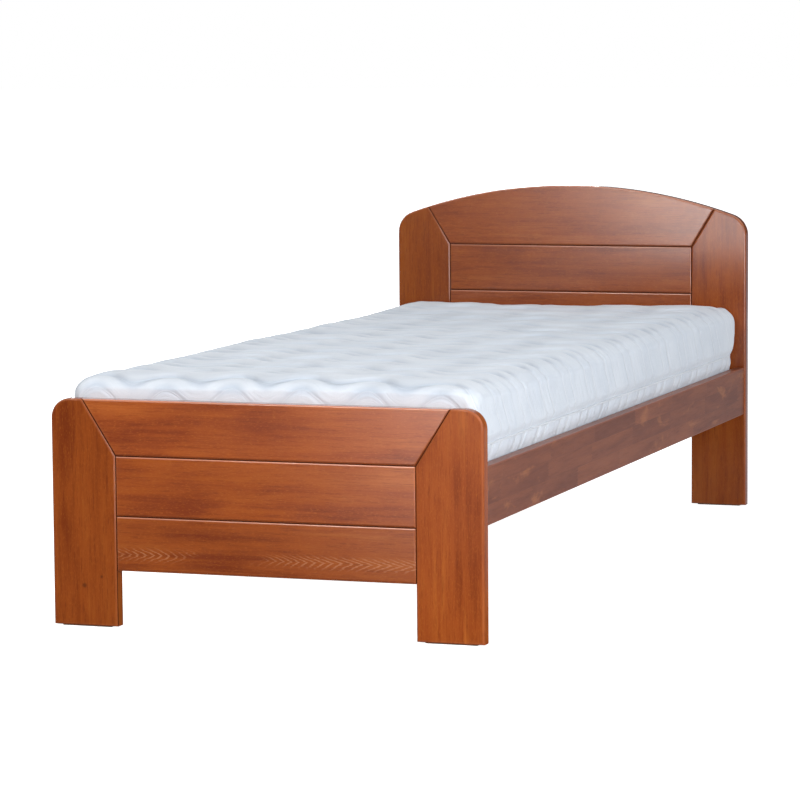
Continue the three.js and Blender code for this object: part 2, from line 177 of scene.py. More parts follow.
lamp("high lamp", (-1.6, -5.2, 4.6), (0.1, -0.6, 0.35), 2.0, 160, (1.0, 0.98, 0.95))
lamp("side lamp", (5.2, -4.4, 1.8), (0.3, -0.2, 0.4), 2.6, 290, (0.93, 0.96, 1.0))
lamp("back lamp", (-2.6, 6.5, 1.35), (0.0, 1.0, 0.4), 2.2, 150, (1.0, 0.98, 0.96))

room = bpy.data.worlds.new("white room")
bpy.context.scene.world = room
room.use_nodes = True
room_nodes = Nodes(room.node_tree)
ray = room_nodes.tree.nodes.new("ShaderNodeLightPath")
seen = Wire(room_nodes, ray.outputs["Is Camera Ray"])
mirrored = Wire(room_nodes, ray.outputs["Is Glossy Ray"])
upward = room_nodes.split(room_nodes.add("ShaderNodeTexCoord"))[2]
overhead = room_nodes.between(upward, 0.30, 0.65)
reflections = room_nodes.mix(overhead, (0.06, 0.063, 0.07, 1), (1.7, 1.68, 1.65, 1))
ambient = room_nodes.mix(mirrored, (0.41, 0.43, 0.455, 1), reflections)
room_colour = room_nodes.mix(seen, ambient, (1, 1, 1, 1))
room_nodes.join(room_colour, room.node_tree.nodes["Background"].inputs["Color"])

FLOOR_REACH = 60
floor_mesh = bmesh.new()
bmesh.ops.create_grid(floor_mesh, x_segments=1, y_segments=1, size=FLOOR_REACH)
floor_data = bpy.data.meshes.new("floor")
floor_mesh.to_mesh(floor_data)
floor_mesh.free()
floor = bpy.data.objects.new("floor", floor_data)
bpy.context.scene.collection.objects.link(floor)
floor_finish = Finish("pale floor", Base_Color=(0.80, 0.80, 0.80, 1), Roughness=1.0)
floor_finish.set("Specular IOR Level", 0.0)
floor_ray = floor_finish.tree.nodes.new("ShaderNodeLightPath")
floor_seen = Wire(floor_finish, floor_ray.outputs["Is Camera Ray"])
floor_finish.set("Emission Color", (1, 1, 1, 1))
floor_mirrored = Wire(floor_finish, floor_ray.outputs["Is Glossy Ray"])
floor_right, floor_back, _ = floor_finish.split(floor_finish.place())
lit_side = floor_finish.between(floor_right - floor_back * 0.33, 0.21, 0.95)
lit_far = floor_finish.between(floor_back * -1, 4.7, 7.6)
gleam = lit_side * floor_finish.between(floor_back * -1, 0.9, 3.6) * (2.1 + lit_far * 9.5)
floor_finish.join(
    floor_seen * 0.90 + floor_mirrored * gleam, floor_finish.shader.inputs["Emission Strength"]
)
behind_bed = floor_finish.between(floor_back, -1.0, 0.5)
mirrored_floor = floor_finish.mix(behind_bed, (0.04, 0.04, 0.045, 1), (0.62, 0.64, 0.68, 1))
floor_finish.set("Base Color", floor_finish.mix(floor_mirrored, (0.80, 0.80, 0.80, 1), mirrored_floor))
floor_data.materials.append(floor_finish.material)

# The footboard: two broad legs and a top rail of solid beech, mitred into each other, round two tongued
# planks that lie flush between them. Every edge is rounded over, so the joints show as fine V-grooves.
HALF_WIDTH = 0.436
LEG_INSIDE = 0.303
LEG_BOTTOM = 0.00215
JOINT_GAP = 0.0003
EDGE_RADIUS = 0.0043
EDGE_STEPS = 5
# Marks for the rounded edges. A rounding that faces up is rubbed and also lighter as a painted highlight; one
# on a side is only rubbed. Deep in a joint the dark is stain that gathers there together with painted shade,
# and a joint's downward lip is darkened as painted shade.
RUBBED_AND_HIGHLIT, RUBBED_SIDE = 1.0, 0.3
STAINED_AND_SHADED_DEEP, SHADED_LIP = -1.0, -0.4
TONGUE_HALF = 0.004
TONGUE_REACH = 0.008
FOOT_TOP = 0.4405
FOOT_CORNER = 0.038
FOOT_MITRE = 0.0645
FOOT_RAIL_UNDERSIDE = 0.332
FOOT_PLANKS = (0.116, 0.1055)


def ease(mesh, edges, radius, steps):
    """Rounds edges over, and returns the faces of the rounding."""
    cutter = {"affect": "EDGES", "offset": radius, "segments": steps, "profile": 0.5, "material": -1}
    return bmesh.ops.bevel(mesh, geom=edges, **cutter)["faces"]


def runs(edge, axis, least):
    """Whether an edge goes further than this along an axis."""
    return abs(edge.verts[0].co[axis] - edge.verts[1].co[axis]) > least


class Outline:
    """A board's outline in the upright plane, drawn corner by corner as a maker marks it out."""

    def __init__(self, x, z):
        self.mesh = bmesh.new()
        self.first = self.mesh.verts.new((x, 0, z))
        self.last = self.first

    def line(self, x, z):
        corner = self.mesh.verts.new((x, 0, z))
        self.mesh.edges.new((self.last, corner))
        self.last = corner
        return self

    def arc(self, x, z, angle, steps):
        """Goes round a centre, anticlockwise as seen from the front."""
        turn = {"cent": (x, 0, z), "axis": (0, 1, 0), "angle": -angle, "steps": steps}
        self.last = bmesh.ops.spin(self.mesh, geom=[self.last], **turn)["geom_last"][0]
        return self

    def board(self, front, back, in_joint):
        """Closes the outline, gives it thickness, and rounds all its long edges.

        The rounding is marked 1 where it faces up, where hands and rags rub it and it is lighter as a painted
        highlight. It is marked 0.3 elsewhere, where it is only rubbed. It is marked -1 deep in a joint, where
        stain gathers and shade is painted in, and -0.4 on a joint's downward lip, as painted shade.
        """
        mesh = self.mesh
        mesh.edges.new((self.last, self.first))
        face = bmesh.ops.contextual_create(mesh, geom=mesh.edges[:])["faces"][0]
        rim = bmesh.ops.inset_region(mesh, faces=[face], thickness=JOINT_GAP / 2, use_even_offset=True)
        bmesh.ops.delete(mesh, geom=rim["faces"], context="FACES")
        bmesh.ops.translate(mesh, vec=(0, front, 0), verts=mesh.verts[:])
        raised = bmesh.ops.extrude_face_region(mesh, geom=mesh.faces[:])["geom"]
        corners = [part for part in raised if isinstance(part, bmesh.types.BMVert)]
        bmesh.ops.translate(mesh, vec=(0, back - front, 0), verts=corners)
        bmesh.ops.recalc_face_normals(mesh, faces=mesh.faces[:])
        rounding = mesh.loops.layers.float.new("rounding")
        long_edges = [edge for edge in mesh.edges if not runs(edge, 1, 1e-6)]
        for band in ease(mesh, long_edges, EDGE_RADIUS, EDGE_STEPS):
            # An upward rounding gets the painted highlight; in a joint, the deep part and a downward lip get
            # painted shade.
            mark = RUBBED_AND_HIGHLIT if band.normal.z > 0.25 else RUBBED_SIDE
            is_deep = abs(band.normal.y) < 0.55
            faces_down = band.normal.z < -0.1
            if in_joint(band.normal, band.calc_center_median()) and (is_deep or faces_down):
                mark = STAINED_AND_SHADED_DEEP if is_deep else SHADED_LIP
            for loop in band.loops:
                loop[rounding] = mark
        return mesh


def saw_line(mesh, place, direction):
    """Marks a straight line right round a board, without parting it."""
    geom = mesh.verts[:] + mesh.edges[:] + mesh.faces[:]
    bmesh.ops.bisect_plane(mesh, geom=geom, plane_co=place, plane_no=direction)


def mill(mesh, middle, facing, reach, keep=lambda place: True):
    """Raises a tongue from the middle of a board's edge, or sinks a groove where reach is negative."""
    facing = Vector(facing)
    strip = [
        face
        for face in mesh.faces
        if face.normal.dot(facing) > 0.999
        and abs(face.calc_center_median().y - middle) < TONGUE_HALF
        and keep(face.calc_center_median())
    ]
    moved = bmesh.ops.extrude_face_region(mesh, geom=strip)["geom"]
    corners = [part for part in moved if isinstance(part, bmesh.types.BMVert)]
    bmesh.ops.translate(mesh, vec=facing * reach, verts=corners)
    bmesh.ops.delete(mesh, geom=strip, context="FACES")


def add_piece(name, mesh, material, body, nodes=(), sharp=35):
    """Puts a finished shape in the scene, on its body and in place of its CAD nodes."""
    bmesh.ops.recalc_face_normals(mesh, faces=mesh.faces[:])
    data = bpy.data.meshes.new(name)
    mesh.to_mesh(data)
    mesh.free()
    data.shade_smooth()
    data.set_sharp_from_angle(angle=math.radians(sharp))
    data.materials.append(material)
    piece = bpy.data.objects.new(name, data)
    bpy.context.scene.collection.objects.link(piece)
    even = piece.modifiers.new("flat faces", "WEIGHTED_NORMAL")
    even.keep_sharp = True
    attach(piece, body)
    if nodes:
        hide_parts(*nodes)
    return piece


def stained_beech(name, upright, shift, depth, warmth, gloss=1.0, flame_height=None, knots=()):
    """Cherry-stained beech under satin lacquer. Its grain runs along X, or along Z on an upright board."""
    finish = Finish(name, Coat_Roughness=0.12, IOR=1.45)
    finish.set("Specular IOR Level", 0.50 * gloss)
    turn = (0, math.radians(90), 0) if upright else (0, 0, 0)
    grain = finish.place(shift, turn)
    bent = finish.noise(finish.scaled(grain, 1.6, 5, 5), 1.0, 2.0)
    streaks = finish.noise(finish.scaled(grain, 1.5, 24, 38), 1.0, 5.0, 0.66, 0.35)
    lines = finish.noise(finish.scaled(grain, 7, 130, 190), 1.0, 3.0, 0.7, 0.2)
    clouds = finish.noise(finish.scaled(grain, 3.2, 9, 9), 1.0, 3.0, 0.6)
    fibres = finish.noise(finish.scaled(grain, 26, 280, 430), 1.0, 3.0, 0.75)
    flecks = finish.noise(finish.scaled(grain, 150, 300, 620), 1.0, 2.0, 0.6)
    dark = (0.215 * depth, 0.037 * depth, 0.0070 * depth, 1)
    middle = (0.350 * depth, 0.074 * depth, (0.008 + 0.006 * warmth) * depth, 1)
    light = (0.500 * depth, 0.135 * depth, 0.022 * depth, 1)
    pale = (0.66 * depth, 0.28 * depth, 0.12 * depth, 1)
    tone = streaks * 0.5 + clouds * 0.5
    colour = finish.mix(finish.between(tone, 0.34, 0.52), dark, middle)
    colour = finish.mix(finish.between(tone, 0.50, 0.68) * (0.40 + 0.55 * warmth), colour, light)
    colour = finish.mix(finish.between(lines, 0.52, 0.68) * 0.34, colour, dark)
    pores = (0.12 * depth, 0.018 * depth, 0.004, 1)
    colour = finish.mix(finish.between(fibres, 0.50, 0.66) * 0.36, colour, pores)
    colour = finish.mix(finish.between(flecks, 0.54, 0.68) * 0.34, colour, light)
    if flame_height:
        along, _, height = finish.split(finish.place())
        off_centre = (height - flame_height).maths("ABSOLUTE", height - flame_height)
        flame = (along + off_centre * 2.4 + bent * 0.14 + clouds * 0.03 + lines * 0.026) * (math.tau / 0.017)
        strokes = finish.between(flame.maths("SINE", flame), 0.35, 0.95) * finish.between(clouds, 0.38, 0.56)
        colour = finish.mix(strokes * (1 - finish.between(off_centre, 0.004, 0.017)) * 0.50, colour, pale)
    spots = None
    for x, y, z, size in knots:
        ends = {0: finish.place(), 1: (x, y, z)}
        away = finish.add("ShaderNodeVectorMath", {"operation": "DISTANCE"}, ends, 1)
        spot = 1 - finish.between(away + bent * 0.004, size * 0.4, size)
        spots = spot if spots is None else spots.maths("MAXIMUM", spots, spot)
    if spots is not None:
        colour = finish.mix(spots * 0.6, colour, (0.045, 0.014, 0.006, 1))
    # The rounding mark: above 0 it lightens rubbed edges and paints a highlight on the upward ones; below 0
    # it darkens the joints with stain and painted shade.
    wear_and_painted_light = finish.add("ShaderNodeAttribute", {"attribute_name": "rounding"}, output=2)
    rubbed_and_highlit = wear_and_painted_light.maths("MAXIMUM", wear_and_painted_light, 0.0)
    stain_and_painted_shade = wear_and_painted_light.maths("MAXIMUM", wear_and_painted_light * -1, 0.0)
    rubbed_highlight_colour = (0.58 * depth, 0.190 * depth, 0.085 * depth, 1)
    colour = finish.mix(rubbed_and_highlit * (0.30 + streaks * 0.40), colour, rubbed_highlight_colour)
    colour = finish.mix(stain_and_painted_shade * 0.85, colour, (0.045, 0.010, 0.004, 1))
    finish.set("Base Color", colour)
    finish.set("Roughness", 0.16 + fibres * 0.11)
    finish.set("Coat Weight", 0.60 * gloss + clouds * 0.10)
    finish.relief(fibres * 0.6 + flecks * 0.4 - lines * 0.3, 0.00022, 0.5)
    return finish.material


foot_low, foot_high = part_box("foot_top_rail")
FOOT_FRONT, FOOT_BACK = foot_low.y, foot_high.y
FOOT_MIDDLE = (FOOT_FRONT + FOOT_BACK) / 2


def tongue_lines(mesh, middle):
    for side in (-1, 1):
        saw_line(mesh, (0, middle + side * TONGUE_HALF, 0), (0, 1, 0))


def plank(bottom, top, front, back, is_last):
    """A plank between the legs, tongued along its top and ends and grooved along its underside."""
    middle = (front + back) / 2
    outline = Outline(-LEG_INSIDE, bottom).line(LEG_INSIDE, bottom)
    outline.line(LEG_INSIDE, top).line(-LEG_INSIDE, top)
    mesh = outline.board(front, back, lambda normal, place: normal.z > -0.3 or not is_last)
    tongue_lines(mesh, middle)
    for side in (-1, 1):
        mill(mesh, middle, (side, 0, 0), TONGUE_REACH)
    mill(mesh, middle, (0, 0, 1), TONGUE_REACH - JOINT_GAP, lambda place: abs(place.x) < LEG_INSIDE / 2)
    if not is_last:
        mill(mesh, middle, (0, 0, -1), -TONGUE_REACH - JOINT_GAP, lambda place: abs(place.x) < LEG_INSIDE / 2)
    return mesh


def leg(outline, front, back, panel_bottom, mitre_bottom):
    """A leg, grooved down its inner edge for the planks' tongues. It is drawn on the right."""
    mesh = outline.board(front, back, lambda normal, place: normal.x < -0.1 and place.z > panel_bottom)
    middle = (front + back) / 2
    tongue_lines(mesh, middle)
    saw_line(mesh, (0, 0, panel_bottom), (0, 0, 1))
    panel = lambda place: panel_bottom < place.z < mitre_bottom
    mill(mesh, middle, (-1, 0, 0), -TONGUE_REACH - JOINT_GAP, panel)
    return mesh


def mirrored_left(mesh):
    bmesh.ops.scale(mesh, vec=(-1, 1, 1), verts=mesh.verts[:])
    bmesh.ops.reverse_faces(mesh, faces=mesh.faces[:])
    return mesh


def foot_leg():
    outline = Outline(LEG_INSIDE, LEG_BOTTOM).line(HALF_WIDTH, LEG_BOTTOM)
    outline.line(HALF_WIDTH, FOOT_TOP - FOOT_CORNER)
    outline.arc(HALF_WIDTH - FOOT_CORNER, FOOT_TOP - FOOT_CORNER, math.pi / 2, 12)
    outline.line(HALF_WIDTH - FOOT_MITRE, FOOT_TOP).line(LEG_INSIDE, FOOT_RAIL_UNDERSIDE)
    return leg(outline, FOOT_FRONT, FOOT_BACK, FOOT_RAIL_UNDERSIDE - sum(FOOT_PLANKS), FOOT_RAIL_UNDERSIDE)


left_leg_knots = ((-0.371, -1.034, 0.080, 0.0085), (-0.335, -1.034, 0.098, 0.0065))
left_look = {"gloss": 0.20, "knots": left_leg_knots}
foot_left_finish = stained_beech("beech foot leg left", True, (0.3, 0.1, 0.7), 0.74, 0.60, **left_look)
foot_right_finish = stained_beech("beech foot leg right", True, (2.3, 0.6, 1.9), 0.90, 0.90, gloss=0.16)
foot_left = mirrored_left(foot_leg())
add_piece("foot_leg_left", foot_left, foot_left_finish, "frame", ["foot_post_left"])
add_piece("foot_leg_right", foot_leg(), foot_right_finish, "frame", ["foot_post_right"])

foot_rail_outline = Outline(-LEG_INSIDE, FOOT_RAIL_UNDERSIDE).line(LEG_INSIDE, FOOT_RAIL_UNDERSIDE)
foot_rail_outline.line(HALF_WIDTH - FOOT_MITRE, FOOT_TOP).line(FOOT_MITRE - HALF_WIDTH, FOOT_TOP)
rail_joint = lambda normal, place: normal.z < -0.1 or abs(normal.x) > 0.5
foot_rail = foot_rail_outline.board(FOOT_FRONT, FOOT_BACK, rail_joint)
tongue_lines(foot_rail, FOOT_MIDDLE)
mill(foot_rail, FOOT_MIDDLE, (0, 0, -1), -TONGUE_REACH - JOINT_GAP)
foot_rail_finish = stained_beech("beech foot rail", False, (0.7, 3.1, 0.2), 1.0, 0.6)
add_piece("foot_rail", foot_rail, foot_rail_finish, "frame", ["foot_top_rail"])

plank_top = FOOT_RAIL_UNDERSIDE
FLAME_HEIGHT = FOOT_RAIL_UNDERSIDE - sum(FOOT_PLANKS) + 0.033
foot_plank_looks = (((4.4, 1.0, 0.9), 0.94, 0.35), ((0.02, 0.4, -0.085), 0.82, 0.40, 1.0, FLAME_HEIGHT))
for number, (height, look) in enumerate(zip(FOOT_PLANKS, foot_plank_looks), 1):
    board = plank(plank_top - height, plank_top, FOOT_FRONT, FOOT_BACK, number == len(FOOT_PLANKS))
    finish = stained_beech(f"beech foot plank {number}", False, *look)
    add_piece(f"foot_panel_{number}", board, finish, "frame", [f"foot_plank_{number}"])
    plank_top -= height

# The headboard: the same construction, taller, under a top rail sawn to a shallow arch that runs on over the
# legs into a rounded shoulder. Its four planks reach down behind the mattress.
ARCH_TOP = 0.7635
ARCH_RADIUS = 1.220
SHOULDER = 0.052
HEAD_MITRE = 0.077
HEAD_RAIL_UNDERSIDE = 0.6185
HEAD_PLANKS = (0.1115, 0.1115, 0.1115, 0.1115)
ARCH_CENTRE = ARCH_TOP - ARCH_RADIUS
MITRE_ANGLE = math.acos((HALF_WIDTH - HEAD_MITRE) / ARCH_RADIUS)
SHOULDER_ANGLE = math.acos((HALF_WIDTH - SHOULDER) / (ARCH_RADIUS - SHOULDER))
SHOULDER_HEIGHT = ARCH_CENTRE + (ARCH_RADIUS - SHOULDER) * math.sin(SHOULDER_ANGLE)
head_low, head_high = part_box("head_top_rail")
HEAD_FRONT, HEAD_BACK = head_low.y, head_high.y
HEAD_MIDDLE = (HEAD_FRONT + HEAD_BACK) / 2


def head_leg():
    outline = Outline(LEG_INSIDE, LEG_BOTTOM).line(HALF_WIDTH, LEG_BOTTOM).line(HALF_WIDTH, SHOULDER_HEIGHT)
    outline.arc(HALF_WIDTH - SHOULDER, SHOULDER_HEIGHT, SHOULDER_ANGLE, 12)
    outline.arc(0, ARCH_CENTRE, MITRE_ANGLE - SHOULDER_ANGLE, 4).line(LEG_INSIDE, HEAD_RAIL_UNDERSIDE)
    return leg(outline, HEAD_FRONT, HEAD_BACK, HEAD_RAIL_UNDERSIDE - sum(HEAD_PLANKS), HEAD_RAIL_UNDERSIDE)


head_left_finish = stained_beech("beech head leg left", True, (5.1, 0.3, 2.2), 0.66, 0.35, gloss=0.60)
head_right_finish = stained_beech("beech head leg right", True, (1.4, 2.6, 0.4), 0.76, 0.30, gloss=0.60)
head_left = mirrored_left(head_leg())
add_piece("head_leg_left", head_left, head_left_finish, "frame", ["head_post_left"])
add_piece("head_leg_right", head_leg(), head_right_finish, "frame", ["head_post_right"])

head_rail_outline = Outline(-LEG_INSIDE, HEAD_RAIL_UNDERSIDE).line(LEG_INSIDE, HEAD_RAIL_UNDERSIDE)
head_rail_outline.line(ARCH_RADIUS * math.cos(MITRE_ANGLE), ARCH_CENTRE + ARCH_RADIUS * math.sin(MITRE_ANGLE))
head_rail_outline.arc(0, ARCH_CENTRE, math.pi - 2 * MITRE_ANGLE, 48)
head_rail = head_rail_outline.board(HEAD_FRONT, HEAD_BACK, rail_joint)
tongue_lines(head_rail, HEAD_MIDDLE)
mill(head_rail, HEAD_MIDDLE, (0, 0, -1), -TONGUE_REACH - JOINT_GAP)
head_rail_finish = stained_beech("beech head rail", False, (3.3, 0.8, 5.0), 0.77, 0.45)
add_piece("head_rail", head_rail, head_rail_finish, "frame", ["head_top_rail"])

plank_top = HEAD_RAIL_UNDERSIDE
head_knots = ((-0.02, 1.005, 0.578, 0.0035), (0.09, 1.005, 0.600, 0.0035), (0.052, 1.005, 0.545, 0.003))
head_plank_looks = (
    ((6.1, 0.5, 3.0), 0.74, 0.40, 1.0, None, head_knots),
    ((2.2, 4.0, 1.2), 0.74, 0.40),
    ((0.9, 1.8, 4.4), 0.78, 0.50),
    ((7.3, 2.9, 0.6), 0.88, 0.40),
)
for number, (height, look) in enumerate(zip(HEAD_PLANKS, head_plank_looks), 1):
    board = plank(plank_top - height, plank_top, HEAD_FRONT, HEAD_BACK, number == len(HEAD_PLANKS))
    finish = stained_beech(f"beech head plank {number}", False, *look)
    add_piece(f"head_panel_{number}", board, finish, "frame", [f"head_plank_{number}"])
    plank_top -= height

# Felt pads under the four legs: pressed brown wool felt with softened edges, glued on. They keep the end
# grain off the floor.
PAD_CORNER = 0.005
PAD_EASING = 0.0007


def block(low, high):
    """A square-edged block between two corners."""
    mesh = bmesh.new()
    bmesh.ops.create_cube(mesh, size=1)
    bmesh.ops.scale(mesh, vec=high - low, verts=mesh.verts[:])
    bmesh.ops.translate(mesh, vec=(low + high) / 2, verts=mesh.verts[:])
    return mesh


felt = Finish("brown felt", Roughness=1.0)
felt_place = felt.place()
wool = felt.noise(felt_place, 900, 4.0, 0.75)
felt_colour = felt.mix(felt.between(wool, 0.35, 0.65), (0.10, 0.065, 0.045, 1), (0.25, 0.17, 0.12, 1))
felt.set("Base Color", felt_colour)
felt.relief(wool, 0.0004)
for board_name in ("foot", "head"):
    for side in ("left", "right"):
        low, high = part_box(f"floor_pad_{board_name}_{side}")
        pad = block(low, high)
        ease(pad, [edge for edge in pad.edges if runs(edge, 2, 1e-4)], PAD_CORNER, 6)
        ease(pad, [edge for edge in pad.edges if not runs(edge, 2, 1e-6)], PAD_EASING, 2)
        name = f"felt_pad_{board_name}_{side}"
        add_piece(name, pad, felt.material, "frame", [f"floor_pad_{board_name}_{side}"])

# The side rails: 25 mm boards glued up from three rows of finger-jointed beech staves, each with its own
# colour, stained and lacquered like the ends. They hook into the legs just behind their outer edges.
RAIL_EASING = 0.0028
STAVE_HEIGHT = 0.0372
STAVE_LENGTH = 0.31
FINGER_PITCH = 0.0062
FINGER_DEPTH = 0.009


def rail_beech(name, shift):
    finish = Finish(name, Coat_Roughness=0.24, IOR=1.42)
    finish.set("Specular IOR Level", 0.34)
    here = finish.place((0, shift, 0.0))
    _, along, height = finish.split(here)
    row = (height / STAVE_HEIGHT).maths("FLOOR", height / STAVE_HEIGHT)
    fingers = (height / FINGER_PITCH).maths("PINGPONG", height / FINGER_PITCH, 0.5) * 2 * FINGER_DEPTH
    start = finish.add("ShaderNodeTexWhiteNoise", {"noise_dimensions": "1D"}, {"W": row + 3.5})
    place_in_row = (along + fingers) / STAVE_LENGTH + start * 7.3
    stave = place_in_row.maths("FLOOR", place_in_row)
    stave_number = finish.add("ShaderNodeCombineXYZ", {}, {0: row, 1: stave})
    chance = finish.add("ShaderNodeTexWhiteNoise", {"noise_dimensions": "2D"}, {"Vector": stave_number})
    offset = finish.add("ShaderNodeCombineXYZ", {}, {0: chance * 9, 1: chance * 31, 2: chance * 17})
    grain = finish.add("ShaderNodeVectorMath", {"operation": "ADD"}, {0: here, 1: offset})
    streaks = finish.noise(finish.scaled(grain, 30, 3.5, 42), 1.0, 4.0, 0.6, 0.4)
    fibres = finish.noise(finish.scaled(grain, 260, 22, 420), 1.0, 3.0, 0.7)
    flecks = finish.noise(finish.scaled(grain, 300, 140, 560), 1.0, 2.0, 0.6)
    blotches = finish.noise(finish.scaled(here, 15, 5.5, 20), 1.0, 4.0, 0.65, 0.5)
    tone = chance * 0.20 + streaks * 0.78
    colour = finish.mix(finish.between(tone, 0.26, 0.72), (0.155, 0.038, 0.014, 1), (0.262, 0.074, 0.027, 1))
    colour = finish.mix(finish.between(blotches, 0.57, 0.68) * 0.55, colour, (0.42, 0.140, 0.045, 1))
    colour = finish.mix(finish.between(fibres, 0.52, 0.80) * 0.35, colour, (0.055, 0.016, 0.010, 1))
    colour = finish.mix(finish.between(flecks, 0.62, 0.80) * 0.25, colour, (0.34, 0.12, 0.06, 1))
    joint = place_in_row - stave
    ends = joint.maths("MINIMUM", joint, 1 - joint)
    rows = height / STAVE_HEIGHT - row
    seams = rows.maths("MINIMUM", rows, 1 - rows)
    glued_ends = 1 - finish.between(ends, 0.0006, 0.0026)
    glue = glued_ends.maths("MAXIMUM", glued_ends, 1 - finish.between(seams, 0.004, 0.016))
    colour = finish.mix(glue * 0.30, colour, (0.05, 0.015, 0.010, 1))
    wear_and_painted_light = finish.add("ShaderNodeAttribute", {"attribute_name": "rounding"}, output=2)
    # Every rounded edge of a side rail is lighter: partly rubbed wear, partly a painted highlight.
    colour = finish.mix(wear_and_painted_light * 0.45, colour, (0.34, 0.125, 0.085, 1))
    finish.set("Base Color", colour)
    finish.set("Roughness", 0.42 + fibres * 0.12)
    finish.set("Coat Weight", 0.20 + streaks * 0.08)
    finish.relief(fibres * 0.6 + flecks * 0.4 - glue * 0.4, 0.00025, 0.5)
    return finish.material


for side in ("left", "right"):
    low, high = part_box(f"side_rail_{side}")
    rail = block(low, high)
    rounding = rail.loops.layers.float.new("rounding")
    # All four long roundings get the full mark, for the lighter colour that stands for wear and a painted
    # highlight.
    for band in ease(rail, [edge for edge in rail.edges if runs(edge, 1, 1)], RAIL_EASING, 4):
        for loop in band.loops:
            loop[rounding] = RUBBED_AND_HIGHLIT
    finish = rail_beech(f"beech side rail {side}", 0.13 if side == "right" else 1.71)
    add_piece(f"rail_{side}", rail, finish, "frame", [f"side_rail_{side}"])

# Ledger strips and slats: planed spruce with no finish, its growth rings showing as soft orange lines on pale
# wood. The strips are glued and screwed inside the rails, and the slats lie loose on them as a roll.
def planed_spruce(name, turn):
    """Its grain runs along X, or along Y on a piece that is turned a quarter."""
    finish = Finish(name)
    finish.set("Specular IOR Level", 0.25)
    grain = finish.place((0, 0, 0), (0, 0, turn))
    across = finish.split(grain)[1]
    sway = finish.noise(finish.scaled(grain, 1.4, 6, 6), 1.0, 2.0)
    rings = across * 640 + sway * 30
    late_wood = finish.between(rings.maths("SINE", rings), 0.1, 0.95)
    fibres = finish.noise(finish.scaled(grain, 14, 340, 340), 1.0, 3.0, 0.7)
    clouds = finish.noise(finish.scaled(grain, 2.0, 11, 11), 1.0, 3.0)
    colour = finish.mix(finish.between(clouds, 0.3, 0.7), (0.60, 0.43, 0.245, 1), (0.74, 0.57, 0.36, 1))
    colour = finish.mix(late_wood * 0.38, colour, (0.50, 0.29, 0.125, 1))
    colour = finish.mix(finish.between(fibres, 0.5, 0.8) * 0.3, colour, (0.47, 0.31, 0.17, 1))
    finish.set("Base Color", colour)
    finish.set("Roughness", 0.62 + fibres * 0.2)
    finish.relief(fibres * 0.6 - late_wood * 0.3, 0.0003, 0.6)
    return finish.material


def refinish(node, material):
    """Gives a CAD piece whose shape is right its real finish."""
    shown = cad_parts[node]
    shown.data.materials.clear()
    shown.data.materials.append(material)


SLATS = 14
slat_spruce = planed_spruce("plain spruce", 0)
strip_spruce = planed_spruce("plain spruce strip", math.radians(90))
for number in range(1, SLATS + 1):
    refinish(f"slat_{number:02d}", slat_spruce)
for side in ("left", "right"):
    refinish(f"slat_cleat_{side}", strip_spruce)

# Fittings: bright zinc-plated steel hook plates, sunk into the ends of the rails and the legs, and the
# countersunk screws through the ledger strips.
zinc = Finish("zinc plate", Metallic=1.0)
spangle = zinc.noise(zinc.place(), 260, 3.0, 0.6)
zinc.set("Base Color", zinc.mix(spangle, (0.42, 0.44, 0.46, 1), (0.66, 0.67, 0.66, 1)))
zinc.set("Roughness", 0.28 + spangle * 0.16)
zinc.relief(spangle, 0.0001, 0.4)
for board_name in ("foot", "head"):
    for side in ("left", "right"):
        refinish(f"hook_plate_{board_name}_{side}", zinc.material)
        refinish(f"socket_plate_{board_name}_{side}", zinc.material)
SCREWS = 5
for side in ("left", "right"):
    for number in range(1, SCREWS + 1):
        refinish(f"cleat_screw_{side}_{number}", zinc.material)

# Straps: two runs of cream cotton webbing that join the slats into a roll, stapled to each slat and sagging
# a little in the spaces between.
STRAP_SAG = 0.0022
STRAP_STEPS = 10
STRAP_EASING = 0.0006
WEB_PITCH = 0.0016
WEB_RIB = 0.006
STAPLE_SIZE = Vector((0.0125, 0.0012, 0.0006))
STAPLE_EASING = 0.00022
STAPLE_OFFSET = 0.022
STAPLE_RISE = 0.0001
cotton = Finish("cotton webbing", Roughness=0.92)
cotton_place = cotton.place()
cotton_x, cotton_y, _ = cotton.split(cotton_place)
chevron = cotton_y / WEB_PITCH + (cotton_x / WEB_RIB).maths("PINGPONG", cotton_x / WEB_RIB, 1.0) * 2
ribs = (chevron * math.tau).maths("SINE", chevron * math.tau) * 0.5 + 0.5
yarn = cotton.noise(cotton_place, 1200, 2.0)
cotton.set("Base Color", cotton.mix(ribs * 0.6 + yarn * 0.4, (0.50, 0.45, 0.36, 1), (0.78, 0.74, 0.65, 1)))
cotton.relief(ribs + yarn * 0.4, 0.0004)

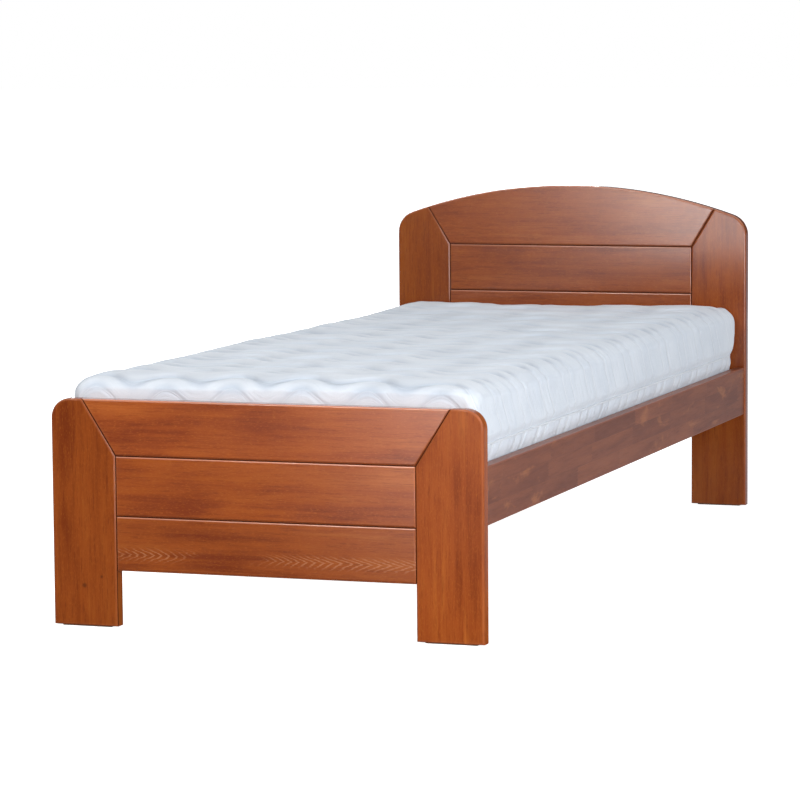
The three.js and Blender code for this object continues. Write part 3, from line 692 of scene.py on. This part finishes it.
slat_boxes = [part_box(f"slat_{number:02d}") for number in range(1, SLATS + 1)]
for side in ("left", "right"):
    low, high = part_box(f"slat_strap_{side}")
    strap = block(low, high)
    ease(strap, [edge for edge in strap.edges if runs(edge, 1, 1)], STRAP_EASING, 2)
    for (_, slat_high), (next_low, _) in zip(slat_boxes, slat_boxes[1:]):
        for step in range(STRAP_STEPS + 1):
            y = slat_high.y + (next_low.y - slat_high.y) * step / STRAP_STEPS
            saw_line(strap, (0, y, 0), (0, 1, 0))
    for vert in strap.verts:
        for (_, slat_high), (next_low, _) in zip(slat_boxes, slat_boxes[1:]):
            if slat_high.y < vert.co.y < next_low.y:
                part = (vert.co.y - slat_high.y) / (next_low.y - slat_high.y)
                vert.co.z -= STRAP_SAG * math.sin(math.pi * part) ** 2
    add_piece(f"webbing_{side}", strap, cotton.material, "slat_base", [f"slat_strap_{side}"])

    staples = bmesh.new()
    for slat_low, slat_high in slat_boxes:
        for end in (-1, 1):
            middle = (slat_low.y + slat_high.y) / 2 + end * STAPLE_OFFSET
            wire = bmesh.ops.create_cube(staples, size=1)["verts"]
            bmesh.ops.scale(staples, vec=STAPLE_SIZE, verts=wire)
            place = ((low.x + high.x) / 2, middle, high.z + STAPLE_RISE)
            bmesh.ops.translate(staples, vec=place, verts=wire)
    ease(staples, [edge for edge in staples.edges if runs(edge, 0, 0.01)], STAPLE_EASING, 2)
    add_piece(f"staples_{side}", staples, zinc.material, "slat_base")

# The mattress core: a block of cold-cured foam with rounded edges, zipped inside its cover.
core_low, core_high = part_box("mattress_core")
PLAN_RADIUS = 0.030
TOP_RADIUS = 0.026
BOTTOM_RADIUS = 0.020
MATTRESS_RADII = (PLAN_RADIUS, TOP_RADIUS, BOTTOM_RADIUS)
COVER = 0.007
SLACK = Vector((0, 0, 0.004))


def cushion(low, high, thinner=0):
    """A block with the mattress's rounded corners and edges, which are tighter inside the cover."""
    plan_radius, top_radius, bottom_radius = (radius - thinner for radius in MATTRESS_RADII)
    mesh = block(low, high)
    ease(mesh, [edge for edge in mesh.edges if runs(edge, 2, 0.01)], plan_radius, 10)
    for height, radius, steps in ((high.z, top_radius, 8), (low.z, bottom_radius, 5)):
        rim = [edge for edge in mesh.edges if all(abs(vert.co.z - height) < 1e-5 for vert in edge.verts)]
        ease(mesh, rim, radius, steps)
    return mesh


foam = Finish("cream foam", Roughness=0.95)
foam_place = foam.place()
cells = foam.add("ShaderNodeTexVoronoi", {}, {"Vector": foam_place, "Scale": 620.0})
cloudy = foam.noise(foam_place, 14, 3.0)
foam.set("Base Color", foam.mix(cloudy * 0.5 + cells * 0.3, (0.83, 0.76, 0.55, 1), (0.90, 0.86, 0.70, 1)))
foam.relief(cells, 0.0006)
core = cushion(core_low, core_high - SLACK, COVER)
core_piece = add_piece("foam_core", core, foam.material, "mattress", ["mattress_core"])

# The cover: white double-knit quilted to wadding in pairs of waving rows across the bed, in an upper and a
# lower half. The foam fills it so that it bulges over the rails, and every row of stitches draws it in.
form_low, form_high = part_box("mattress_cover_bottom")[0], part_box("mattress_cover_top")[1]
SEAM_HEIGHT = (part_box("mattress_zip")[0].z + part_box("mattress_zip")[1].z) / 2
ROW_REPEAT = 0.150
ROW_GAP = 0.052
ROW_START = 0.026
WAVE_LENGTH = 0.138
WAVE_SWING = 0.019
SIDE_SWING = 0.024
LOW_SWING = 0.031
SIDE_TURN = 0.410
SEAM_REACH = 0.502
CELL = 0.0100
FORM_INSET = 0.0005
INFLATION_FRAMES = 20
MOST_SWELL = 0.011
STITCH_HALF = 0.012
STITCH_HOLD = 0.75
SEAM_HALF = 0.008
PRESSURE = 14
EDGE_QUILTING = 0.0014
TOP_QUILTING = 0.0088
LOW_QUILTING = 0.0026
ROW_DEPTH = 0.72
SIDE_BULGE = 0.0128
LOW_BULGE = 0.0015
HALF_SEAM_GAP = 0.00113
FOOT_RISE = 0.0045
HEAD_RISE = 0.0028
SEAM_DRAW = 0.0012
END_LIMIT = 1.0036
RAIL_LIMIT = 0.4055
OVER_RAIL = 0.0028
RAIL_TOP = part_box("side_rail_right")[1].z
middle_top = form_high.z
half_x, half_y = form_high.x, form_high.y


def evaluated_copy(piece):
    """The piece's mesh with its modifiers worked out."""
    graph = bpy.context.evaluated_depsgraph_get()
    return bpy.data.meshes.new_from_object(piece.evaluated_get(graph), depsgraph=graph)


def points_of(data):
    flat = np.empty(len(data.vertices) * 3)
    data.vertices.foreach_get("co", flat)
    return flat.reshape(-1, 3)


def normals_of(data):
    flat = np.empty(len(data.vertices) * 3)
    data.vertex_normals.foreach_get("vector", flat)
    return flat.reshape(-1, 3)


def move_points(data, points):
    data.vertices.foreach_set("co", points.ravel())
    data.update()


def smooth_step(value, low, high):
    t = np.clip((value - low) / (high - low), 0, 1)
    return t * t * (3 - 2 * t)


def laid_flat(points, from_top):
    """Where each point lies on the cloth, across and along the bed, before it is folded over the edge."""
    x, y, z = points.T
    radius = TOP_RADIUS if from_top else BOTTOM_RADIUS
    depth = np.maximum(middle_top - z if from_top else z - form_low.z, 0)
    past_x = np.maximum(np.abs(x) - (half_x - PLAN_RADIUS), 0)
    past_y = np.maximum(np.abs(y) - (half_y - PLAN_RADIUS), 0)
    corner = (past_x > 0) & (past_y > 0)
    edge = np.where(
        corner, PLAN_RADIUS - np.hypot(past_x, past_y), np.minimum(half_x - np.abs(x), half_y - np.abs(y))
    )
    folded = np.maximum(radius - edge, 0)
    angle = np.arctan2(folded, np.maximum(radius - depth, 1e-6))
    drop = radius * angle + np.maximum(depth - radius, 0)
    extra = np.where(folded > 0, drop - folded, 0)
    nearer_end = (half_y - np.abs(y) < half_x - np.abs(x)) * 1.0
    to_end = np.where(corner, np.arctan2(past_y, past_x + 1e-9) / (math.pi / 2), nearer_end)
    share = smooth_step(to_end, 0.3, 0.7)
    across = np.sign(x) * (np.abs(x) + extra * (1 - share))
    along = np.sign(y) * (np.abs(y) + extra * share)
    return across, along


def row_wave(across, from_top):
    """How far along the bed a row of stitches has swung, at a place across it."""
    if from_top:
        swing = WAVE_SWING + (SIDE_SWING - WAVE_SWING) * smooth_step(np.abs(across), 0.33, 0.42)
        plain = across - SIDE_TURN
        side_pace = 0.5 / (SEAM_REACH - SIDE_TURN) * WAVE_LENGTH
        turns = np.where(plain > 0, plain * side_pace, plain) / WAVE_LENGTH
        return -swing * np.cos(math.tau * turns)
    fold = BOTTOM_RADIUS * math.pi / 2
    seam_across = half_x - BOTTOM_RADIUS + fold + SEAM_HEIGHT - form_low.z - BOTTOM_RADIUS
    return LOW_SWING * np.sin(math.tau * (across - seam_across) / WAVE_LENGTH)


def row_place(points, from_top):
    """The cloth's own coordinates: along the rows, and across them from the first row of a pair."""
    across, along = laid_flat(points, from_top)
    drift = 0.004 * np.sin(across * 9.1 + along * 3.3 + 1.0) + 0.004 * np.sin(across * 23 - along * 7.7)
    return across, along - row_wave(across, from_top) + drift - ROW_START


def quilting(across, rows):
    """Height of the quilted cloth over its rows of stitches, 0 at a row and 1 between rows."""
    phase = np.mod(rows, ROW_REPEAT)
    narrow = phase < ROW_GAP
    width = np.where(narrow, ROW_GAP, ROW_REPEAT - ROW_GAP)
    inside = np.where(narrow, phase, phase - ROW_GAP) / width
    swell = 1 - np.abs(2 * inside - 1) ** np.where(narrow, 2.2, 4.0)
    number = np.floor(rows / ROW_REPEAT) * 2 + narrow
    uneven = 0.16 * np.sin(number * 12.9898 + across * 11) + 0.10 * np.sin(number * 4.1 + across * 37)
    return swell * (1 + uneven)


def inflated_form():
    """The filled cover as one closed form, swollen by a cloth simulation that its rows of stitches hold."""
    inset = Vector((FORM_INSET,) * 3)
    filling = cushion(form_low + inset, form_high - inset)
    data = bpy.data.meshes.new("mattress form")
    filling.to_mesh(data)
    filling.free()
    form = bpy.data.objects.new("mattress form", data)
    bpy.context.scene.collection.objects.link(form)
    remesh = form.modifiers.new("even cells", "REMESH")
    remesh.mode = "VOXEL"
    remesh.voxel_size = CELL
    form.data = evaluated_copy(form)
    form.modifiers.clear()
    rest = points_of(form.data)
    across, rows = row_place(rest, True)
    phase = np.mod(rows, ROW_REPEAT)
    to_row = np.minimum(np.minimum(phase, ROW_REPEAT - phase), np.abs(phase - ROW_GAP))
    below = rest[:, 2] < SEAM_HEIGHT - STITCH_HALF
    near_seam = np.abs(rest[:, 2] - SEAM_HEIGHT) < SEAM_HALF
    hold = np.clip(1 - to_row / STITCH_HALF, 0, 1) * STITCH_HOLD
    hold[near_seam] = 1
    hold[below] = 1
    pins = form.vertex_groups.new(name="stitches")
    for level in range(1, 11):
        held = np.nonzero(np.round(hold * 10).astype(int) == level)[0].tolist()
        if held:
            pins.add(held, level / 10, "REPLACE")
    cloth = form.modifiers.new("cloth", "CLOTH")
    cloth.settings.quality = 4
    cloth.settings.mass = 0.4
    cloth.settings.tension_stiffness = 25
    cloth.settings.compression_stiffness = 25
    cloth.settings.bending_stiffness = 2
    cloth.settings.use_pressure = True
    cloth.settings.uniform_pressure_force = PRESSURE
    cloth.settings.effector_weights.gravity = 0
    cloth.settings.vertex_group_mass = "stitches"
    cloth.point_cache.frame_start = 1
    cloth.point_cache.frame_end = INFLATION_FRAMES
    for frame_number in range(1, INFLATION_FRAMES + 1):
        bpy.context.scene.frame_set(frame_number)
    swollen = evaluated_copy(form)
    form.modifiers.clear()
    form.data = swollen
    bpy.context.scene.frame_set(1)
    moved = points_of(swollen) - rest
    far = np.linalg.norm(moved, axis=1)
    print("cloth moved", round(float(far.max()), 4), "mean", round(float(far.mean()), 4))
    moved *= (np.minimum(far, MOST_SWELL) / np.maximum(far, 1e-9))[:, None]
    move_points(swollen, rest + moved)
    finer = form.modifiers.new("finer", "SUBSURF")
    finer.levels = 1
    finer.render_levels = 1
    fine = evaluated_copy(form)
    bpy.data.objects.remove(form)
    return fine


def quilt(data):
    """Presses the rows of stitches and the zipped seam into the swollen form, and keeps it inside the bed."""
    points = points_of(data)
    normals = normals_of(data)
    upper = points[:, 2] > SEAM_HEIGHT
    across_top, rows_top = row_place(points, True)
    across_low, rows_low = row_place(points, False)
    height = np.where(upper, quilting(across_top, rows_top), quilting(across_low, rows_low))
    flat_below = smooth_step(-normals[:, 2], 0.5, 0.95)
    to_edge = np.minimum(half_x - np.abs(points[:, 0]), half_y - np.abs(points[:, 1]))
    inner = smooth_step(to_edge, 0.0, 0.060) * (points[:, 2] > middle_top - TOP_RADIUS)
    depth = np.where(upper, EDGE_QUILTING + TOP_QUILTING * inner, LOW_QUILTING) * (1 - 0.35 * flat_below)
    rise = depth * (height - ROW_DEPTH) * (1 - flat_below) + depth * (height - 1.15) * flat_below
    wall = 1 - np.abs(normals[:, 2])
    seam = np.exp(-(((points[:, 2] - SEAM_HEIGHT) / SEAM_HALF) ** 2))
    belly = np.clip((points[:, 2] - SEAM_HEIGHT) / (middle_top - TOP_RADIUS - SEAM_HEIGHT), 0, 1.6)
    above_rail = smooth_step(points[:, 2], RAIL_TOP, RAIL_TOP + 0.014)
    bulge = np.where(upper, SIDE_BULGE * np.sin(np.minimum(belly, 1.36) / 1.36 * math.pi) ** 0.5, 0)
    bulge = bulge * (0.96 + 0.22 * np.clip(points[:, 0] / 0.35, -1, 1))
    bulge = np.maximum(bulge, LOW_BULGE + OVER_RAIL * above_rail)
    rise = rise + wall * (bulge - SEAM_DRAW * seam)
    points = points + normals * rise[:, None]
    x, y, z = points.T
    foot_rise = FOOT_RISE * smooth_step(-y, 0.78, 0.93)
    head_rise = HEAD_RISE * smooth_step(y, 0.70, 0.95) * smooth_step(x, -0.25, 0.3)
    unevenness = 0.0012 * np.sin(x * 7 + 0.8) * np.sin(y * 4.1 + 0.3) + 0.0008 * np.sin(y * 11.7 + x * 5)
    lifted = smooth_step(z, SEAM_HEIGHT + 0.03, middle_top - 0.01)
    points[:, 2] += (foot_rise + head_rise + unevenness) * lifted
    points[:, 1] = np.clip(y, -END_LIMIT, END_LIMIT)
    limit = RAIL_LIMIT + 3 * OVER_RAIL * smooth_step(points[:, 2], RAIL_TOP + 0.002, RAIL_TOP + 0.020)
    points[:, 0] = np.clip(points[:, 0], -limit, limit)
    points[:, 2] = np.maximum(points[:, 2], form_low.z)
    move_points(data, points)


def cover_half(name, data, from_top):
    """One half of the cover: the quilted outside, a plain lining inside it, and a rim that joins them."""
    half = bmesh.new()
    half.from_mesh(data)
    rim_height = SEAM_HEIGHT + (HALF_SEAM_GAP if from_top else -HALF_SEAM_GAP)
    geom = half.verts[:] + half.edges[:] + half.faces[:]
    cut = {"plane_co": (0, 0, rim_height), "plane_no": (0, 0, -1 if from_top else 1), "clear_outer": True}
    bmesh.ops.bisect_plane(half, geom=geom, **cut)
    inset = Vector((COVER,) * 3) * 0.93
    lining = cushion(form_low + inset, form_high - inset - SLACK, COVER)
    bmesh.ops.bisect_plane(lining, geom=lining.verts[:] + lining.edges[:] + lining.faces[:], **cut)
    bmesh.ops.reverse_faces(lining, faces=lining.faces[:])
    lining_data = bpy.data.meshes.new("lining")
    lining.to_mesh(lining_data)
    lining.free()
    half.from_mesh(lining_data)
    open_edges = [edge for edge in half.edges if edge.is_boundary]
    rim = bmesh.ops.triangle_fill(half, use_beauty=True, use_dissolve=False, edges=open_edges)["geom"]
    rim_faces = [part for part in rim if isinstance(part, bmesh.types.BMFace)]
    for face in rim_faces:
        if face.normal.z * (-1 if from_top else 1) < 0:
            face.normal_flip()
    for face in half.faces:
        face.smooth = True
    cover_data = bpy.data.meshes.new(name)
    half.to_mesh(cover_data)
    half.free()
    points = points_of(cover_data)
    across, rows = row_place(points, from_top)
    corner_verts = np.empty(len(cover_data.loops), dtype=np.int32)
    cover_data.loops.foreach_get("vertex_index", corner_verts)
    cloth_map = cover_data.uv_layers.new(name="cloth")
    cloth_map.uv.foreach_set("vector", np.stack([across, rows], 1)[corner_verts].ravel())
    return cover_data


knit = Finish("quilted knit", Roughness=0.92, Sheen_Weight=0.25, Sheen_Roughness=0.4)
knit.set("Specular IOR Level", 0.2)
cloth_place = knit.add("ShaderNodeUVMap", {"uv_map": "cloth"})
along_rows, over_rows, _ = knit.split(cloth_place)
wrapped = over_rows.maths("WRAP", over_rows, ROW_REPEAT, 0.0)
first_row = wrapped.maths("MINIMUM", wrapped, ROW_REPEAT - wrapped)
second_row = (wrapped - ROW_GAP).maths("ABSOLUTE", wrapped - ROW_GAP)
to_row = first_row.maths("MINIMUM", first_row, second_row)
STITCH = 0.0032
stitch_step = (along_rows / STITCH).maths("FRACT", along_rows / STITCH)
thread = (1 - knit.between(to_row, 0.0003, 0.0009)) * knit.between(
    stitch_step.maths("PINGPONG", stitch_step, 0.5), 0.05, 0.16
)
furrow = 1 - knit.between(to_row, 0.0, 0.009)
rib = 1 - knit.between(to_row, 0.0010, 0.0030)
knit_place = knit.place()
loops = knit.add("ShaderNodeTexVoronoi", {}, {"Vector": knit_place, "Scale": 780.0})
fuzz = knit.noise(knit_place, 420, 3.0, 0.7)
patches = knit.noise(knit_place, 7, 3.0, 0.6)
cloth_colour = knit.mix(knit.between(patches, 0.3, 0.7), (0.690, 0.728, 0.780, 1), (0.765, 0.795, 0.835, 1))
cloth_colour = knit.mix(loops * 0.16 + fuzz * 0.10, cloth_colour, (0.62, 0.67, 0.74, 1))
pucker = knit.noise(knit.scaled(cloth_place, 60, 14, 14), 1.0, 2.0)
wrinkles = knit.noise(knit.scaled(cloth_place, 6, 60, 1), 1.0, 3.0, 0.65)
across_cloth = along_rows.maths("ABSOLUTE", along_rows)
on_top = 1 - knit.between(across_cloth, 0.36, 0.43)
hollow = 1 - knit.between(to_row, 0.0, 0.021)
cloth_height = knit.split(knit_place)[2]
below_zip = 1 - knit.between(cloth_height, SEAM_HEIGHT - 0.004, SEAM_HEIGHT)
facing_up = knit.between(cloth_height, SEAM_HEIGHT + 0.080, SEAM_HEIGHT + 0.106)
shaded = furrow * 0.02 + hollow * on_top * (0.14 + facing_up * 0.48)
cloth_colour = knit.mix(shaded, cloth_colour, (0.47, 0.53, 0.62, 1))
cloth_colour = knit.mix(knit.between(wrinkles, 0.50, 0.70) * 0.30, cloth_colour, (0.60, 0.66, 0.73, 1))
# The stitched ribs are lightened as a painted highlight along the ridges, most on the lower band below the
# zip.
rib_highlight = rib * (0.16 - on_top * 0.14 + pucker * 0.4 * (1 - on_top * 0.8) + below_zip * 0.55)
cloth_colour = knit.mix(rib_highlight, cloth_colour, (0.93, 0.945, 0.96, 1))
cloth_colour = knit.mix(thread * (0.55 - on_top * 0.35), cloth_colour, (0.90, 0.92, 0.95, 1))
knit.set("Base Color", cloth_colour)
creases = wrinkles * (4.2 - on_top * 1.4) + pucker * 0.9
raised = rib * (1.1 - on_top * 0.9) + creases + thread * 0.4
knit.relief(loops * -0.30 + fuzz * 0.22 - furrow * 1.3 + raised, 0.0010, 0.9)

filled = inflated_form()
quilt(filled)
halves = (("cover_upper", True, "mattress_cover_top"), ("cover_lower", False, "mattress_cover_bottom"))
for name, from_top, node in halves:
    cover_data = cover_half(name, filled, from_top)
    cover_data.materials.append(knit.material)
    cover_piece = bpy.data.objects.new(name, cover_data)
    bpy.context.scene.collection.objects.link(cover_piece)
    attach(cover_piece, "mattress")
    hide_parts(node)
bpy.data.meshes.remove(filled)

# The zip between the halves: a white coil on woven tape, sunk in the seam all round the mattress.
ZIP_COIL = 0.0016
ZIP_EASING = 0.0014
ZIP_DEPTH = 0.005
ZIP_CORNER = PLAN_RADIUS + 0.014
ZIP_WIDER = Vector((0.0062, -0.0005, 0))
TOOTH_PITCH = 0.0024
zip_low, zip_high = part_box("mattress_zip")
tape = Finish("zip tape", Roughness=0.75)
tape_x, tape_y, _ = tape.split(tape.place())
tape_run = tape_x + tape_y
teeth = (tape_run * (math.tau / TOOTH_PITCH)).maths("SINE", tape_run * (math.tau / TOOTH_PITCH)) * 0.5 + 0.5
tape.set("Base Color", tape.mix(teeth, (0.78, 0.80, 0.84, 1), (0.90, 0.91, 0.93, 1)))
tape.relief(teeth, 0.0006)
ring_low = Vector((zip_low.x, zip_low.y, SEAM_HEIGHT - ZIP_COIL)) - ZIP_WIDER
ring_high = Vector((zip_high.x, zip_high.y, SEAM_HEIGHT + ZIP_COIL)) + ZIP_WIDER
ring = block(ring_low, ring_high)
ease(ring, [edge for edge in ring.edges if runs(edge, 2, 0.001)], ZIP_CORNER, 14)
caps = [face for face in ring.faces if abs(face.normal.z) > 0.9]
bmesh.ops.inset_region(ring, faces=caps, thickness=ZIP_DEPTH, use_even_offset=True)
caps = [face for face in ring.faces if abs(face.normal.z) > 0.9 and len(face.verts) > 4]
rims = [edge for face in caps for edge in face.edges]
bmesh.ops.delete(ring, geom=caps, context="FACES_ONLY")
bmesh.ops.bridge_loops(ring, edges=rims)
outside = [edge for edge in ring.edges if len(edge.link_faces) == 2 and edge.calc_face_angle() > 1.4]
ease(ring, outside, ZIP_EASING, 3)
add_piece("zip_coil", ring, tape.material, "mattress", ["mattress_zip"])
